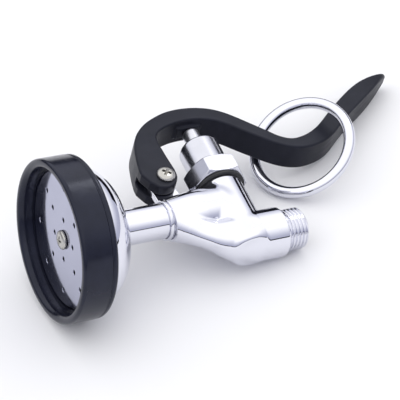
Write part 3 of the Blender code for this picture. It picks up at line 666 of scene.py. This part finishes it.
def lever_field(x, y, z):
    """S-shaped lever: flat sides with rolled edges, forked at the pivot, closing to a point at the tail."""
    t = np.clip((x - TAIL_START) / (TAIL_TIP - TAIL_START), 0, 1)
    half = LEVER_W / 2 * np.sqrt(np.maximum(0.03, 1 - t ** 2.6))
    edge = np.minimum(LEVER_EDGE, 0.9 * half)
    lever = rounded_both(outline_field(LEVER_OUTLINE, x, z), np.abs(y) - half, edge)
    pad = rounded_both(outline_field(PAD, x, z), np.abs(y) - 3.2, 0.5)
    lever = smooth_union(lever, pad, 1.0)
    slot = np.maximum(outline_field(SLOT, x, z), np.abs(y) - FIN_T / 2 - GAP)
    lever = cut(lever, slot, 0.4)
    reach = np.hypot(x - PIVOT_X, z - PIVOT_Z)
    lever = cut(lever, reach - PIVOT_R - 0.1, 0.3)
    return cut(lever, np.maximum(reach - 3.9, LEVER_W / 2 - 2.2 - y), 0.3)


def squeeze_lever():
    points, quads, normals = field_surface(lever_field, (52.0, -8.0, 11.0), (211.5, 8.0, 67.0), 0.55)
    piece("lever_moulding", points, quads, "black_plastic", "lever", ["squeeze_lever"], normals=normals)
    head_foot = PIVOT - Y_DIR * (LEVER_W / 2 + 0.05)
    pan_screw("pivot_screw_fine", place(head_foot, -Y_DIR), head_r=4.25, head_h=2.3, shank_r=PIVOT_R,
              shank_l=LEVER_W - 0.6, recess={"depth": 2.7, "reach": 2.3, "width": 0.72, "spin": 0.85},
              body="lever", replaces=["pivot_screw"])


def hold_down_ring():
    wire = [(RING_R + RING_WIRE_R * math.cos(a), RING_WIRE_R * math.sin(a))
            for a in (2 * math.pi * k / 40 for k in range(40))]
    verts, faces = lathe(wire, 256)
    piece("chrome_ring", verts, faces, "chrome", "ring", ["hold_down_ring"],
          place(RING_CENTRE, RING_NORMAL))


# ---------------------------------------------------------------- studio
CARD_DISTANCE = 1.3   # metres from the object to the cards that it reflects


def plain_mesh(name, verts, faces, colour, rough, glow=0.0):
    """Studio mesh with one plain colour; glow is the strength of its white light."""
    mesh = bpy.data.meshes.new(name)
    mesh.from_pydata(verts, [], faces)
    obj = bpy.data.objects.new(name, mesh)
    bpy.context.collection.objects.link(obj)
    nodes = Nodes(name)
    nodes.shader.inputs["Base Color"].default_value = (*colour, 1.0)
    nodes.shader.inputs["Roughness"].default_value = rough
    nodes.shader.inputs["Specular IOR Level"].default_value = 0.0
    nodes.shader.inputs["Emission Color"].default_value = (1.0, 1.0, 1.0, 1.0)
    nodes.shader.inputs["Emission Strength"].default_value = glow
    mesh.materials.append(nodes.material)
    return obj


def dark_strip(name, middle, spread, height):
    """Black card standing round the object, seen only in its reflections."""
    count = 24
    sweep = [math.radians(middle - spread + 2 * spread * k / count) for k in range(count + 1)]
    verts = [(CARD_DISTANCE * math.cos(a), CARD_DISTANCE * math.sin(a), z)
             for z in (0.0, height) for a in sweep]
    faces = [(k, k + 1, k + count + 2, k + count + 1) for k in range(count)]
    card = plain_mesh(name, verts, faces, (0.008, 0.008, 0.012), 1.0)
    card.visible_camera = card.visible_diffuse = card.visible_shadow = False


def softbox(name, heading, height, width, tall, glow):
    """Bright panel facing the object from heading and height (degrees), seen only in its reflections."""
    turn = Matrix.Rotation(math.radians(heading), 4, "Z") @ Matrix.Rotation(math.radians(-height), 4, "Y")
    verts = [turn @ Vector((CARD_DISTANCE, sx * width / 2, sz * tall / 2))
             for sx, sz in ((-1, -1), (1, -1), (1, 1), (-1, 1))]
    panel = plain_mesh(name, verts, [(0, 1, 2, 3)], (0.0, 0.0, 0.0), 1.0, glow)
    panel.visible_camera = panel.visible_diffuse = panel.visible_shadow = False


def studio():
    corners = [(-6, -6, 0), (6, -6, 0), (6, 6, 0), (-6, 6, 0)]
    plain_mesh("floor", corners, [(0, 1, 2, 3)], (0.88, 0.88, 0.90), 0.9)
    dark_strip("dark_backdrop", 90.0, 75.0, 0.36)
    dark_strip("dark_foreground", 250.0, 70.0, 0.09)
    softbox("softbox", 22.0, 51.0, 0.42, 0.16, 7.0)

    world = bpy.data.worlds.new("studio_dome")
    bpy.context.scene.world = world
    world.use_nodes = True
    tree = world.node_tree
    coordinates = tree.nodes.new("ShaderNodeTexCoord")
    split = tree.nodes.new("ShaderNodeSeparateXYZ")
    ramp = tree.nodes.new("ShaderNodeValToRGB")
    tree.links.new(coordinates.outputs["Generated"], split.inputs["Vector"])
    tree.links.new(split.outputs["Z"], ramp.inputs["Fac"])
    tree.links.new(ramp.outputs["Color"], tree.nodes["Background"].inputs["Color"])
    stops = ((0.0, (0.38, 0.39, 0.48)), (0.17, (0.42, 0.43, 0.52)), (0.34, (0.60, 0.61, 0.68)),
             (0.62, (1.0, 1.0, 1.0)))
    while len(ramp.color_ramp.elements) < len(stops):
        ramp.color_ramp.elements.new(0.5)
    for element, (position, colour) in zip(ramp.color_ramp.elements, stops):
        element.position, element.color = position, (*colour, 1.0)
    tree.nodes["Background"].inputs["Strength"].default_value = 1.35


def camera():
    """The photograph's viewpoint in the valve's frame: eye, aim and the way that is up."""
    eye, aim = Vector((-313.4, -601.65, -508.4)), Vector((83.2, 8.25, 15.0))
    back = (eye - aim).normalized()
    right = Vector((0.165, -0.702, 0.693)).cross(back).normalized()
    turn = Matrix((right, back.cross(right), back)).transposed().to_4x4()
    data = bpy.data.cameras.new("camera")
    data.sensor_width, data.lens = 36.0, 176.18
    data.clip_start, data.clip_end = 0.01, 50.0
    obj = bpy.data.objects.new("camera", data)
    bpy.context.collection.objects.link(obj)
    obj.matrix_world = VALVE @ Matrix.Translation(eye * MM) @ turn
    bpy.context.scene.camera = obj


def finish_carried_nodes():
    """Give every CAD node's slots the procedural finish of the same name."""
    for node in frame["nodes"].values():
        for slot in node.material_slots:
            slot.material = FINISHES[slot.material.name.split(".")[0]]


rubber_bumper()
face_plate()
spray_bell()
outlet_tube()
valve_body()
bonnet()
squeeze_lever()
hold_down_ring()
finish_carried_nodes()
studio()
camera()
bpy.context.scene.view_settings.view_transform = "Standard"
